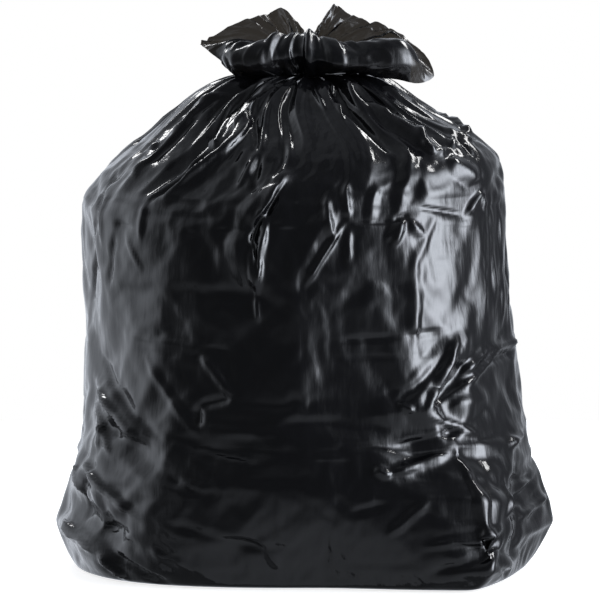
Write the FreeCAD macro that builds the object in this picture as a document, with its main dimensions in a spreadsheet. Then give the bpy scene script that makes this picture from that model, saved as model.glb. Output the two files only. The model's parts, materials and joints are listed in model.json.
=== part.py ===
import FreeCAD, Part
import Sketcher
import math
import os
import random

# A full refuse sack of thin black film, gathered and tied at the neck. The film is one piece:
# its skin runs from the flat patch that it stands on, up the slack sides, over the pleated
# shoulders, through the tie and out into the open mouth, which fans into two wings. Crumpled
# film lies in flat facets between creases, so the skin is a shell of flat facets on a grid of
# rings and columns. The tie is a doubled elastic band round the neck.
# Lengths are in millimetres. X runs to the right, Y to the back and Z up.

NAMED_SIZES = (
    ("foot_width", 464, "flat patch on the floor"),
    ("foot_depth", 376, ""),
    ("foot_lean", -3, "lean is how far a level sits to the right"),
    ("hem_height", 46, "where the load bulges out over the floor"),
    ("hem_width", 480, ""),
    ("hem_depth", 432, ""),
    ("hem_lean", 1, ""),
    ("waist_height", 186, ""),
    ("waist_width", 452, ""),
    ("waist_depth", 424, ""),
    ("waist_lean", 0, ""),
    ("belly_height", 318, ""),
    ("belly_width", 440, ""),
    ("belly_depth", 420, ""),
    ("belly_lean", -9, ""),
    ("neck_height", 517, "underside of the tied neck"),
    ("shoulder_drop", 125, "below the neck, as are the next drops"),
    ("shoulder_width", 436, ""),
    ("shoulder_depth", 404, ""),
    ("shoulder_lean", -10, ""),
    ("brow_drop", 68, "the shoulders turn in towards the neck"),
    ("brow_width", 358, ""),
    ("brow_depth", 320, ""),
    ("brow_lean", 8, ""),
    ("crown_drop", 29, ""),
    ("crown_width", 228, ""),
    ("crown_depth", 206, ""),
    ("crown_lean", -4, ""),
    ("collar_drop", 12, ""),
    ("collar_width", 162, ""),
    ("collar_depth", 140, ""),
    ("collar_lean", -2, ""),
    ("neck_lean", 5, ""),
    ("neck_radius", 14, ""),
    ("neck_length", 9, "round stretch that the tie grips"),
    ("ear_reach", 20, "bottom corners of the flat sack, pulled out to points"),
    ("ear_height", 46, ""),
    ("ear_spread", 32, "degrees to each side of the corner"),
    ("corner_reach", 66, "the load sags out to the front and right at the foot"),
    ("corner_place", 311, "its azimuth in degrees"),
    ("corner_spread", 36, "degrees to each side"),
    ("corner_height", 22, ""),
    ("corner_power_low", 2.6, "2 is an ellipse, more is boxier"),
    ("corner_power_high", 2.05, ""),
    ("pleat_count", 24, "gathers round the neck"),
    ("pleat_crowding", 4, "degrees by which gathers crowd together in places"),
    ("pleat_depth", 9, ""),
    ("pleat_slope", 0.34, "largest depth as a share of a pleat's width"),
    ("packing_start", 104, "height of the lowest crease left from folding the new sack"),
    ("packing_pitch", 141, "height from one such crease to the next"),
    ("packing_depth", 2.5, ""),
    ("packing_spread", 16, "half width of such a crease"),
    ("crumple_pitch", 78, "width of the large facets of the crumpled film"),
    ("crumple_depth", 4, ""),
    ("ripple_pitch", 38, "width of the small facets"),
    ("ripple_depth", 1.5, ""),
    ("mouth_reach", 129, "from the neck to the tip of the longer wing"),
    ("mouth_rise", 65, "from the tie to the highest point of the rim"),
    ("film_wall", 1.6, "nominal: the real film is 0.03 thick"),
    ("band_width", 6, "the elastic band's width on the neck"),
    ("band_thickness", 1.5, ""),
    ("band_gap", 0.3, "clearance between band and film"),
)

COLUMNS_PER_PLEAT = 4
LOW_LEVELS = ("hem", "waist", "belly")
HIGH_LEVELS = ("shoulder", "brow", "crown", "collar")
ROWS_TO_NEXT_LEVEL = (4, 6, 6, 4, 5, 5, 4, 3)
MOUTH_ROWS = 9

# The open mouth, anticlockwise from the right wing's tip: first the crest that the film rolls
# over, then its rim. Places to the right and to the back are shares of mouth_reach and heights
# above the tie are shares of mouth_rise. The back half stands up and the front half hangs down.
MOUTH_STATIONS = (
    ((0.74, -0.08, 0.38), (1.00, -0.09, -0.18)),
    ((0.71, 0.06, 0.46), (0.92, 0.05, 0.22)),
    ((0.56, 0.12, 0.55), (0.74, 0.17, 0.43)),
    ((0.39, 0.17, 0.64), (0.53, 0.25, 0.62)),
    ((0.25, 0.19, 0.70), (0.33, 0.29, 0.80)),
    ((0.14, 0.19, 0.70), (0.17, 0.31, 1.00)),
    ((0.06, 0.12, 0.46), (0.08, 0.16, 0.62)),
    ((-0.04, 0.11, 0.49), (-0.05, 0.16, 0.65)),
    ((-0.16, 0.19, 0.66), (-0.21, 0.28, 0.92)),
    ((-0.26, 0.19, 0.64), (-0.37, 0.26, 0.77)),
    ((-0.45, 0.14, 0.52), (-0.67, 0.17, 0.58)),
    ((-0.57, 0.03, 0.43), (-0.88, 0.03, 0.34)),
    ((-0.59, -0.11, 0.38), (-0.65, -0.11, 0.03)),
    ((-0.62, -0.22, 0.31), (-0.68, -0.26, -0.11)),
    ((-0.39, -0.33, 0.46), (-0.40, -0.39, -0.14)),
    ((-0.09, -0.26, 0.58), (-0.09, -0.31, -0.05)),
    ((0.23, -0.33, 0.40), (0.25, -0.39, -0.12)),
    ((0.68, -0.25, 0.43), (0.81, -0.29, -0.11)),
)

# Creases that show at the front and sides. Each runs straight over the skin from one place to
# another, a place being an azimuth in degrees (270 is the front) and a distance up the skin.
# Half width and lift are in millimetres, and a lift below zero is a valley.
SEEN_CREASES = (
    # long fold from the tie down over the left shoulder, with the ridge beside it
    (236, 600, 221, 405, 17, -9),
    (246, 575, 230, 400, 16, 8),
    # fold down the front
    (262, 590, 264, 470, 15, -6),
    # narrow tuck at the front, left of the middle
    (265, 450, 255, 374, 15, 5),
    (255, 374, 256, 315, 15, 5),
    # slanting tuck at the middle
    (282, 398, 269, 318, 16, 5),
    # folds over the right shoulder
    (300, 590, 318, 455, 16, 8),
    (290, 580, 303, 460, 14, -6),
    (318, 455, 331, 420, 16, 6),
    # edges of the flat, shining panel on the right
    (301, 398, 302, 262, 15, 3),
    (324, 392, 322, 275, 14, -4),
    # wedge under the panel
    (322, 262, 300, 200, 20, 7),
    (322, 240, 306, 188, 16, -6),
    # facets low on the right
    (288, 186, 328, 196, 20, 8),
    (292, 148, 326, 132, 16, -7),
    (294, 104, 330, 82, 18, 8),
    (300, 60, 335, 24, 20, -9),
    # folds on the left side and low on the left
    (198, 208, 228, 155, 18, 7),
    (206, 176, 236, 118, 18, -6),
    (236, 158, 262, 146, 16, -6),
    (186, 124, 222, 78, 20, 7),
    (183, 52, 220, 10, 22, 9),
    (190, 86, 226, 40, 18, -8),
)


def make_sheet(doc):
    """The spreadsheet of driving dimensions, one named cell each."""
    sheet = doc.addObject("Spreadsheet::Sheet", "Sizes")
    for number, (name, value, note) in enumerate(NAMED_SIZES, start=1):
        sheet.set(f"A{number}", name)
        sheet.set(f"B{number}", str(value))
        sheet.set(f"C{number}", note)
        sheet.setAlias(f"B{number}", name)
    doc.recompute()
    return sheet


def closed_curve(points):
    """A smooth closed curve that passes its points at even steps from 0 to 1."""
    places = [number / len(points) for number in range(len(points) + 1)]
    curve = Part.BSplineCurve()
    curve.interpolate(Points=points, Parameters=places, PeriodicFlag=True)
    return curve


def guide_curve(points, places):
    """A smooth open curve that passes its points at the given places along it."""
    curve = Part.BSplineCurve()
    curve.interpolate(Points=points, Parameters=places)
    return curve


def body_levels(size):
    """Height, width, depth and lean at each level of the body, from the floor to the neck."""
    levels = [(0, size("foot_width"), size("foot_depth"), size("foot_lean"))]
    for name in LOW_LEVELS + HIGH_LEVELS:
        if name in LOW_LEVELS:
            height = size(f"{name}_height")
        else:
            height = size("neck_height") - size(f"{name}_drop")
        width, depth, lean = (size(f"{name}_{what}") for what in ("width", "depth", "lean"))
        levels.append((height, width, depth, lean))
    across_neck = 2 * size("neck_radius")
    levels.append((size("neck_height"), across_neck, across_neck, size("neck_lean")))
    return levels


def body_guides(size):
    """The left, right, front and back outlines of the body, through the same levels."""
    sides = {"left": [], "right": [], "front": [], "back": []}
    for height, width, depth, lean in body_levels(size):
        sides["left"].append(FreeCAD.Vector(lean - width / 2, 0, height))
        sides["right"].append(FreeCAD.Vector(lean + width / 2, 0, height))
        sides["front"].append(FreeCAD.Vector(lean, -depth / 2, height))
        sides["back"].append(FreeCAD.Vector(lean, depth / 2, height))
    places = [0.0]
    for lower, upper in zip(sides["left"], sides["left"][1:]):
        places.append(places[-1] + (upper - lower).Length)
    curves = {side: guide_curve(points, places) for side, points in sides.items()}
    return curves, places


def tent(distance, half_width):
    """1 on a crease, falling straight to 0 at its half width."""
    return max(0.0, 1.0 - abs(distance) / half_width)


def column_azimuths(size):
    """Directions of the film's columns from the neck, four to a gather, in radians."""
    columns = COLUMNS_PER_PLEAT * int(size("pleat_count"))
    crowding = math.radians(size("pleat_crowding"))
    azimuths = []
    for column in range(columns):
        even = 2 * math.pi * column / columns
        shift = math.sin(5 * even + 1) + 0.5 * math.sin(11 * even + 2)
        azimuths.append(even + crowding * shift)
    return azimuths


def body_ring(size, guides, place, azimuths):
    """One ring of the smooth body, before its creases, at a place along the guides."""
    left, right, front, back = (
        guides[side].value(place) for side in ("left", "right", "front", "back")
    )
    centre = (left + right) * 0.5
    share = left.z / size("neck_height")
    power = size("corner_power_low")
    power += (size("corner_power_high") - power) * min(1.0, 1.3 * share)
    ear = size("ear_reach") * tent(left.z - size("ear_height"), 1.5 * size("ear_height"))
    corner = size("corner_reach") * tent(left.z - size("corner_height"), 6 * size("corner_height"))
    ring = []
    for azimuth in azimuths:
        across, along = math.cos(azimuth), math.sin(azimuth)
        half_width = (right.x - left.x) / 2
        half_depth = back.y if along > 0 else -front.y
        reach = (
            abs(across / half_width) ** power + abs(along / half_depth) ** power
        ) ** (-1 / power)
        from_side = math.degrees(math.asin(min(1.0, abs(along))))
        reach += ear * tent(from_side, size("ear_spread")) ** 2
        from_corner = (math.degrees(azimuth) - size("corner_place") + 180) % 360 - 180
        reach += corner * tent(from_corner, size("corner_spread")) ** 2
        ring.append(
            FreeCAD.Vector(centre.x + reach * across, reach * along, left.z)
        )
    return ring


def smooth_body(size, azimuths):
    """The rings from the floor up to the tie, and how far up the skin each ring lies."""
    guides, places = body_guides(size)
    rings, runs = [], []
    for rows, start, end in zip(ROWS_TO_NEXT_LEVEL, places, places[1:]):
        for row in range(rows):
            runs.append(start + (end - start) * row / rows)
            rings.append(body_ring(size, guides, runs[-1], azimuths))
    neck_axis = FreeCAD.Vector(size("neck_lean"), 0, size("neck_height"))
    rings.append(round_ring(neck_axis, size("neck_radius"), azimuths))
    return rings, runs + [places[-1]]


def round_ring(centre, radius, azimuths):
    return [
        centre + FreeCAD.Vector(radius * math.cos(azimuth), radius * math.sin(azimuth), 0)
        for azimuth in azimuths
    ]


def smooth_mouth(size, azimuths):
    """The rings from the tie, up over the crest and on to the open rim."""
    tie_top = size("neck_height") + size("neck_length")
    centre = FreeCAD.Vector(size("neck_lean"), 0, tie_top)
    crest_points, rim_points = [], []
    for crest, rim in MOUTH_STATIONS:
        for points, (right, back, up) in ((crest_points, crest), (rim_points, rim)):
            flat = FreeCAD.Vector(right, back, 0) * size("mouth_reach")
            points.append(centre + flat + FreeCAD.Vector(0, 0, up * size("mouth_rise")))
    crest_curve, rim_curve = closed_curve(crest_points), closed_curve(rim_points)
    start = round_ring(centre, size("neck_radius"), azimuths)
    paths = []
    for column, foot in enumerate(start):
        place = column / len(start)
        crest, rim = (curve.value(place) for curve in (crest_curve, rim_curve))
        stem = foot + (crest - foot) * 0.32
        stem.z = foot.z + 0.5 * (crest.z - foot.z)
        paths.append(guide_curve([foot, stem, crest, rim], [0.0, 0.3, 0.68, 1.0]))
    return [[path.value(row / MOUTH_ROWS) for path in paths] for row in range(MOUTH_ROWS + 1)]


def outward_normal(rings, row, column):
    """The outward direction of the smooth skin at one point of its grid."""
    columns = len(rings[0])
    below, above = rings[max(row - 1, 0)], rings[min(row + 1, len(rings) - 1)]
    along = above[column] - below[column]
    around = rings[row][(column + 1) % columns] - rings[row][column - 1]
    return around.cross(along).normalize()


def distance_to_crease(place, start, end):
    """Distance over the flattened skin, and how far along the crease its nearest point is."""
    line = end - start
    share = (place - start).dot(line) / line.dot(line)
    share = min(1.0, max(0.0, share))
    return (place - start - line * share).Length, share


def facet_lattice(size, name, slant, seed):
    """Seeded heights at the corners of the flat facets that crumpled film falls into."""
    pitch, depth = size(f"{name}_pitch"), size(f"{name}_depth")
    columns = round(2 * math.pi * around_belly(size) / pitch)
    rows = int(1.3 * size("neck_height") / pitch) + 4
    chance = random.Random(seed)
    heights = [[chance.uniform(-1, 1) for _ in range(rows)] for _ in range(columns)]
    return heights, pitch, depth, slant


def facet_lift(lattice, azimuth, run):
    """Height of the facets at one place of the film. The lattice is slanted and wavy."""
    heights, pitch, depth, slant = lattice
    columns, rows = len(heights), len(heights[0])
    up = run / pitch + 1
    across = azimuth / (2 * math.pi) * columns + slant * up
    across += 0.35 * math.sin(1.7 * up) + 0.25 * math.sin(3 * azimuth + 0.9 * up)
    up += 0.35 * math.sin(7 * azimuth) + 0.25 * math.sin(16 * azimuth + 2.3 * up)
    column, row = math.floor(across), min(max(math.floor(up), 0), rows - 2)
    right, rise = across - column, up - row
    here, beside = heights[column % columns], heights[(column + 1) % columns]
    a, b, c, d = here[row], beside[row], beside[row + 1], here[row + 1]
    if abs(a - c) < abs(b - d):
        if right > rise:
            height = a + right * (b - a) + rise * (c - b)
        else:
            height = a + rise * (d - a) + right * (c - d)
    elif right + rise < 1:
        height = a + right * (b - a) + rise * (d - a)
    else:
        height = c + (1 - right) * (d - c) + (1 - rise) * (b - c)
    return depth * height


def around_belly(size):
    """Mean radius of the belly, which turns azimuths into lengths over the film."""
    return (size("belly_width") + size("belly_depth")) / 4


def crease_lines(size):
    """Ends of the seen creases on the flattened film."""
    around = around_belly(size)
    lines = []
    for first_azimuth, first_run, last_azimuth, last_run, half_width, lift in SEEN_CREASES:
        start = FreeCAD.Vector(math.radians(first_azimuth) * around, first_run, 0)
        end = FreeCAD.Vector(math.radians(last_azimuth) * around, last_run, 0)
        lines.append((start, end, half_width, lift))
    return lines


def creased_body(size, rings, runs, azimuths):
    """Moves the smooth body's points out and in along its pleats, facets and creases."""
    around = around_belly(size)
    lines = crease_lines(size)
    lattices = [facet_lattice(size, "crumple", 0.5, 3), facet_lattice(size, "ripple", -0.7, 8)]
    shoulder_run, neck_run = runs[sum(ROWS_TO_NEXT_LEVEL[:4])], runs[-1]
    skin = [rings[0]]
    for row in range(1, len(rings) - 1):
        run = runs[row]
        near_ends = min(1.0, run / size("hem_height"))
        near_neck = min(1.0, (neck_run - run) / size("shoulder_drop"))
        ring = []
        for column, azimuth in enumerate(azimuths):
            point = rings[row][column]
            crumple = sum(facet_lift(lattice, azimuth, run) for lattice in lattices)
            crumple *= near_neck * calm_front(azimuth)
            lift = crumple + packing_lift(size, azimuth, run, shoulder_run)
            lift += pleat_lift(size, point, column, run, shoulder_run, neck_run)
            for turns in (0, 1):
                place = FreeCAD.Vector((azimuth + 2 * math.pi * turns) * around, run, 0)
                for start, end, half_width, height in lines:
                    distance, share = distance_to_crease(place, start, end)
                    fade = min(1.0, 5 * share + 0.35, 5 * (1 - share) + 0.35)
                    lift += height * fade * tent(distance, half_width)
            ring.append(point + outward_normal(rings, row, column) * lift * near_ends)
        skin.append(ring)
    skin.append(rings[-1])
    return skin


def calm_front(azimuth):
    """The film is smoother at the front, where the load presses it taut."""
    away = (math.degrees(azimuth) - 268 + 180) % 360 - 180
    return 1 - 0.45 * math.exp(-((away / 26) ** 2))


def pleat_pattern(column):
    """Ridge, flank, valley, flank: the repeating section of one gather."""
    return (1.0, 0.0, -1.0, 0.0)[column % COLUMNS_PER_PLEAT]


def pleat_lift(size, point, column, run, shoulder_run, neck_run):
    """Height of the gathers, which start at the shoulders at places that differ."""
    pleat = column // COLUMNS_PER_PLEAT
    reach = 0.5 + 0.5 * math.sin(2.4 * pleat)
    start = shoulder_run + (neck_run - shoulder_run) * 0.45 * (1 - reach)
    share = (run - start) / (neck_run - start)
    if share <= 0:
        return 0.0
    radius = math.hypot(point.x - size("neck_lean"), point.y)
    width = 2 * math.pi * radius / size("pleat_count")
    depth = min(size("pleat_depth") * min(1.0, 2.2 * share), size("pleat_slope") * width)
    return depth * pleat_pattern(column) * (0.75 + 0.25 * math.sin(5.1 * pleat))


def packing_lift(size, azimuth, run, shoulder_run):
    """The broken level creases that are left from folding the new sack, as shallow valleys."""
    if run > shoulder_run + size("packing_pitch") / 2:
        return 0.0
    past_first = run - size("packing_start")
    number = round(past_first / size("packing_pitch"))
    broken = min(1.0, max(0.0, math.sin(azimuth * (5 + number) + 2 * number) + 0.4))
    away = past_first - number * size("packing_pitch")
    return -size("packing_depth") * broken * tent(away, size("packing_spread"))


def pleated_mouth(size, rings):
    """Gathers in the mouth, deepest above the tie and gone at the rim."""
    columns = len(rings[0])
    skin = [rings[0]]
    for row in range(1, len(rings)):
        share = row / MOUTH_ROWS
        ring = []
        for column in range(columns):
            step = (rings[row][(column + 1) % columns] - rings[row][column - 1]).Length / 2
            depth = size("pleat_slope") * COLUMNS_PER_PLEAT * step
            lift = min(depth, 0.6 * size("pleat_depth")) * (1.2 - share)
            lift *= pleat_pattern(column)
            ring.append(rings[row][column] + outward_normal(rings, row, column) * lift)
        skin.append(ring)
    return skin


def inner_mouth(size, rings, skin, azimuths):
    """The inside of the mouth, one film wall in, from the rim back down to the neck."""
    inner = []
    for row in range(len(rings) - 1, 1, -1):
        ring = []
        for column in range(len(azimuths)):
            inward = outward_normal(rings, row, column) * -size("film_wall")
            ring.append(skin[row][column] + inward)
        inner.append(ring)
    tie_top = size("neck_height") + size("neck_length")
    floor = FreeCAD.Vector(size("neck_lean"), 0, tie_top + 2 * size("film_wall"))
    inner.append(round_ring(floor, size("neck_radius") / 3, azimuths))
    return inner


def faceted_solid(rings):
    """The closed solid of flat facets over all rings, with a flat face at each end."""
    columns = len(rings[0])
    points = [point for ring in rings for point in ring]
    facets = []
    for row in range(len(rings) - 1):
        for column in range(columns):
            a = row * columns + column
            b = row * columns + (column + 1) % columns
            c, d = b + columns, a + columns
            if (points[a] - points[c]).Length <= (points[b] - points[d]).Length:
                facets += [(a, b, c), (a, c, d)]
            else:
                facets += [(a, b, d), (b, c, d)]
    first_of_last = (len(rings) - 1) * columns
    for column in range(columns):
        beside = (column + 1) % columns
        facets.append((len(points), first_of_last + column, first_of_last + beside))
    points.append(sum(rings[-1], FreeCAD.Vector()) * (1 / columns))
    skin = Part.Shape()
    skin.makeShapeFromMesh((points, facets), 0.01)
    floor_edges = [
        edge for edge in skin.Edges if max(vertex.Z for vertex in edge.Vertexes) < 1e-6
    ]
    base = Part.Face(Part.Wire(Part.__sortEdges__(floor_edges)))
    if base.normalAt(0, 0).z > 0:
        base.reverse()
    return Part.makeSolid(Part.Shell(skin.Faces + [base]))


def make_sack(doc, sheet):
    """The film, from the floor to the rim of the mouth and back to the neck."""

    def size(name):
        return float(sheet.get(name))

    azimuths = column_azimuths(size)
    rings, runs = smooth_body(size, azimuths)
    body = creased_body(size, rings, runs, azimuths)
    mouth = smooth_mouth(size, azimuths)
    mouth_skin = pleated_mouth(size, mouth)
    inside = inner_mouth(size, mouth, mouth_skin, azimuths)
    sack = doc.addObject("Part::Feature", "Sack")
    sack.Label = "sack"
    sack.Shape = faceted_solid(body + mouth_skin + inside)
    return sack


def make_neck_tie(doc, sheet):
    """The elastic band round the neck, a flat rectangle revolved."""
    body = doc.addObject("PartDesign::Body", "NeckTie")
    body.Label = "neck_tie"
    plane = next(o for o in body.Origin.OriginFeatures if o.Role == "XZ_Plane")
    profile = body.newObject("Sketcher::SketchObject", "BandProfile")
    profile.AttachmentSupport = [(plane, "")]
    profile.MapMode = "FlatFace"
    inner, low = (float(sheet.get(name)) for name in ("neck_radius", "band_gap"))
    outer = inner + float(sheet.get("band_thickness"))
    high = low + float(sheet.get("band_width"))
    around = ((inner, low), (outer, low), (outer, high), (inner, high))
    corners = [FreeCAD.Vector(x, y, 0) for x, y in around]
    for first, last in zip(corners, corners[1:] + corners[:1]):
        profile.addGeometry(Part.LineSegment(first, last), False)
    for side in range(4):
        profile.addConstraint(Sketcher.Constraint("Coincident", side, 2, (side + 1) % 4, 1))
        direction = "Vertical" if side % 2 else "Horizontal"
        profile.addConstraint(Sketcher.Constraint(direction, side))
    origin = -1
    bounds = (
        ("DistanceX", (origin, 1, 0, 1), "Sizes.neck_radius + Sizes.band_gap"),
        ("DistanceX", (0, 1, 0, 2), "Sizes.band_thickness"),
        ("DistanceY", (origin, 1, 0, 1), "(Sizes.neck_length - Sizes.band_width) / 2"),
        ("DistanceY", (1, 1, 1, 2), "Sizes.band_width"),
    )
    for kind, between, formula in bounds:
        number = profile.addConstraint(Sketcher.Constraint(kind, *between, 1.0))
        profile.setExpression(f"Constraints[{number}]", formula)
    band = body.newObject("PartDesign::Revolution", "Band")
    band.Profile = profile
    band.ReferenceAxis = (profile, ["V_Axis"])
    band.Angle = 360
    body.Tip = band
    body.setExpression("Placement.Base.x", "Sizes.neck_lean")
    body.setExpression("Placement.Base.z", "Sizes.neck_height")
    return body


def check_and_export(doc, parts):
    """Stops on anything unsound, then writes one STEP file for each part."""
    for thing in doc.Objects:
        if {"Invalid", "Error"} & set(thing.State):
            raise RuntimeError(f"{thing.Label} did not recompute")
    os.makedirs("parts", exist_ok=True)
    for part in parts:
        shape = part.Shape
        if shape.isNull() or not shape.isValid() or len(shape.Solids) != 1:
            raise RuntimeError(f"{part.Label} is not one sound solid")
        shape.exportStep(f"parts/{part.Label}.step")
        box = shape.BoundBox
        print(
            f"{part.Label}: {shape.Volume / 1e6:.4f} litres, {len(shape.Faces)} faces,"
            f" {box.XLength:.1f} x {box.YLength:.1f} x {box.ZLength:.1f} mm,"
            f" x {box.XMin:.1f} to {box.XMax:.1f}, z {box.ZMin:.2f} to {box.ZMax:.1f}"
        )


def main():
    doc = FreeCAD.newDocument("RefuseSack")
    sheet = make_sheet(doc)
    parts = (make_sack(doc, sheet), make_neck_tie(doc, sheet))
    doc.recompute()
    check_and_export(doc, parts)


main()
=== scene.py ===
# %% [markdown]
# # A full refuse sack of black film
#
# A refuse sack starts as a flat tube of thin polythene, sealed across the bottom. Filled, stood on
# its base and tied, it turns into a soft body with pleated shoulders and a fan of loose film above
# the tie. We load the CAD solids first. They are the frame that every piece has to fit.

import json
import math
import random

import bpy
import numpy as np
from mathutils.kdtree import KDTree
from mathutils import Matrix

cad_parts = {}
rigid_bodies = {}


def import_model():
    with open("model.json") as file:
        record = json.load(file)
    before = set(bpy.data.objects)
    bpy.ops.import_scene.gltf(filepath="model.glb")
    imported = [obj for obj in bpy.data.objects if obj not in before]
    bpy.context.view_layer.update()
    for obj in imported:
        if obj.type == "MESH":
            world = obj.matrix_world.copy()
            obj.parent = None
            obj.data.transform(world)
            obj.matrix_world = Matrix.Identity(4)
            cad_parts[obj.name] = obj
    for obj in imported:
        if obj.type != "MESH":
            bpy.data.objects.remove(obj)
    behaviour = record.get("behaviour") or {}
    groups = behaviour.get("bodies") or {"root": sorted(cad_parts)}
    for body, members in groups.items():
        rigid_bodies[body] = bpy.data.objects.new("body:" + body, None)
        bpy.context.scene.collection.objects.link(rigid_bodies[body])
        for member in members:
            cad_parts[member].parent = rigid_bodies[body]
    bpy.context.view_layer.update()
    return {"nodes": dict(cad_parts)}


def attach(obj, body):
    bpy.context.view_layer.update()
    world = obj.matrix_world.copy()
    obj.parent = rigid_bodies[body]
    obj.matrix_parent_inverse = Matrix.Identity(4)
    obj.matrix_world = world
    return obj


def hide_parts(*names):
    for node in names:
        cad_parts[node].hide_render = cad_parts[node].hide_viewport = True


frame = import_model()
bpy.ops.object.select_all(action="DESELECT")

# %% [markdown]
# Film is laid out on a grid before it is folded. One direction of the grid is the azimuth round
# the sack, with 270 degrees at the front, and the other is the run: how many millimetres of film
# lie between the floor and that place. A crease drawn between two such places is then as easy as
# a pencil line on the flat tube. The levels below follow those of the solid to a few millimetres.
# The run to each of them is measured along the left edge.

# %% The levels of the body
COLUMNS = 200
LEVELS = (
    # height, half width, half depth, lean to the right
    (0, 232, 188, -3),
    (46, 240, 216, 1),
    (186, 224, 212, -2),
    (318, 217, 210, -9),
    (392, 217, 202, -10),
    (449, 179, 160, 8),
    (488, 122, 106, -3),
    (509, 88, 74, -1),
    (517, 14, 14, 5),
)
HEIGHT, HALF_WIDTH, HALF_DEPTH, LEAN = range(4)


def smooth_path(places, values, at):
    """A cubic spline through the values at their places, read at other places."""
    places, values, at = (np.asarray(thing, float) for thing in (places, values, at))
    steps = np.diff(places)
    matrix = np.eye(len(places))
    side = np.zeros_like(values)
    for i in range(1, len(places) - 1):
        matrix[i, i - 1 : i + 2] = steps[i - 1], 2 * (steps[i - 1] + steps[i]), steps[i]
        side[i] = 6 * (values[i + 1] - values[i]) / steps[i]
        side[i] -= 6 * (values[i] - values[i - 1]) / steps[i - 1]
    bend = np.linalg.solve(matrix, side)
    i = np.clip(np.searchsorted(places, at) - 1, 0, len(steps) - 1)
    step = steps[i][:, None]
    low = (places[i + 1] - at)[:, None] / step
    high = 1 - low
    curve = ((low**3 - low) * bend[i] + (high**3 - high) * bend[i + 1]) * step**2 / 6
    return low * values[i] + high * values[i + 1] + curve


levels = np.array(LEVELS, float)
left_edge = levels[:, LEAN] - levels[:, HALF_WIDTH]
sides = np.hypot(np.diff(levels[:, HEIGHT]), np.diff(left_edge))
level_runs = np.concatenate([[0], np.cumsum(sides)])
NECK_RUN = level_runs[-1]
print("run to each level:", np.round(level_runs))

# %% [markdown]
# Each ring of the body is a superellipse, a rounded box that gets rounder towards the neck. The
# two lower corners of the flat tube stick out as ears at the left and right, and at the front right
# the load sags out over the floor.

# %% The smooth body
BODY_ROWS = 112
CROWD_TO_FRONT = 0.35  # columns lie closer together at the front
FOOT_POWER, POWER_LOSS, LOSS_RATE = 2.6, 0.55, 1.3  # of the superellipse, from the foot up
EAR_REACH, EAR_SPREAD, EAR_HEIGHT, EAR_HALF_HEIGHT = 20, 32, 46, 69
CORNER_REACH, CORNER_PLACE, CORNER_SPREAD = 66, 311, 36
CORNER_HEIGHT, CORNER_HALF_HEIGHT = 22, 132
even = np.arange(COLUMNS) * 2 * np.pi / COLUMNS
azimuths = even - CROWD_TO_FRONT * np.cos(even)
body_runs = np.linspace(0, NECK_RUN, BODY_ROWS)


def tent(distance, half_width):
    """1 at a line and 0 from its half width on, with straight flanks."""
    return np.clip(1 - np.abs(distance) / half_width, 0, None)


def rise(distance, over):
    """0 up to a place and 1 from a number of millimetres past it on."""
    return np.clip(distance / over, 0, 1)


def half_turn(degrees):
    """An angle brought between -180 and 180 degrees."""
    return (degrees + 180) % 360 - 180


def smooth_body(runs):
    """Points of the uncreased body in millimetres, by row and column."""
    height, half_width, half_depth, lean = smooth_path(level_runs, levels, runs).T
    power = FOOT_POWER - POWER_LOSS * rise(LOSS_RATE * height, LEVELS[-1][HEIGHT])
    across, along = np.abs(np.cos(azimuths)), np.abs(np.sin(azimuths))
    power = power[:, None]
    reach = (across / half_width[:, None]) ** power + (along / half_depth[:, None]) ** power
    reach = reach ** (-1 / power)
    from_side = np.degrees(np.arcsin(along))
    ear = EAR_REACH * tent(height - EAR_HEIGHT, EAR_HALF_HEIGHT)
    reach = reach + ear[:, None] * tent(from_side, EAR_SPREAD) ** 2
    from_corner = half_turn(np.degrees(azimuths) - CORNER_PLACE)
    corner = CORNER_REACH * tent(height - CORNER_HEIGHT, CORNER_HALF_HEIGHT)
    reach = reach + corner[:, None] * tent(from_corner, CORNER_SPREAD) ** 2
    points = np.empty((len(runs), COLUMNS, 3))
    points[..., 0] = lean[:, None] + reach * np.cos(azimuths)
    points[..., 1] = reach * np.sin(azimuths)
    points[..., 2] = height[:, None]
    return points


def outward(points):
    """The outward direction at each point of a grid that closes round its columns."""
    around = np.roll(points, -1, axis=1) - np.roll(points, 1, axis=1)
    normal = np.cross(around, np.gradient(points, axis=0))
    return normal / np.maximum(np.linalg.norm(normal, axis=2, keepdims=True), 1e-9)


body_points = smooth_body(body_runs)
print("smooth body:", body_points.shape)

# %% [markdown]
# A grid primitive is the flat film. Its points are moved to their places on the body, the two
# edges that meet at the back of the tube are merged, and the bottom closes to the middle of the
# flat patch that the sack stands on.

# %% Roll the film into a tube
MERGE_DISTANCE = 0.00002  # metres
BASE_SHARES = (0.0, 0.3, 0.6, 0.85)  # rings of the base, as shares of the first ring of the body
BASE_RUN = -50.0  # stored for all of them, below every place of the side


def film_tube(name, rings):
    """A grid primitive whose rows are wrapped into rings, given in millimetres."""
    rows, columns = len(rings), rings.shape[1]
    bpy.ops.mesh.primitive_grid_add(x_subdivisions=columns, y_subdivisions=rows - 1, size=1)
    film = bpy.context.object
    film.name = film.data.name = name
    closed = np.concatenate([rings, rings[:, :1]], axis=1) / 1000
    film.data.vertices.foreach_set("co", closed.reshape(-1).astype(np.float32))
    bpy.ops.object.mode_set(mode="EDIT")
    bpy.ops.mesh.select_all(action="SELECT")
    bpy.ops.mesh.remove_doubles(threshold=MERGE_DISTANCE)
    bpy.ops.mesh.normals_make_consistent(inside=False)
    bpy.ops.object.mode_set(mode="OBJECT")
    bpy.ops.object.shade_smooth()
    return film


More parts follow.
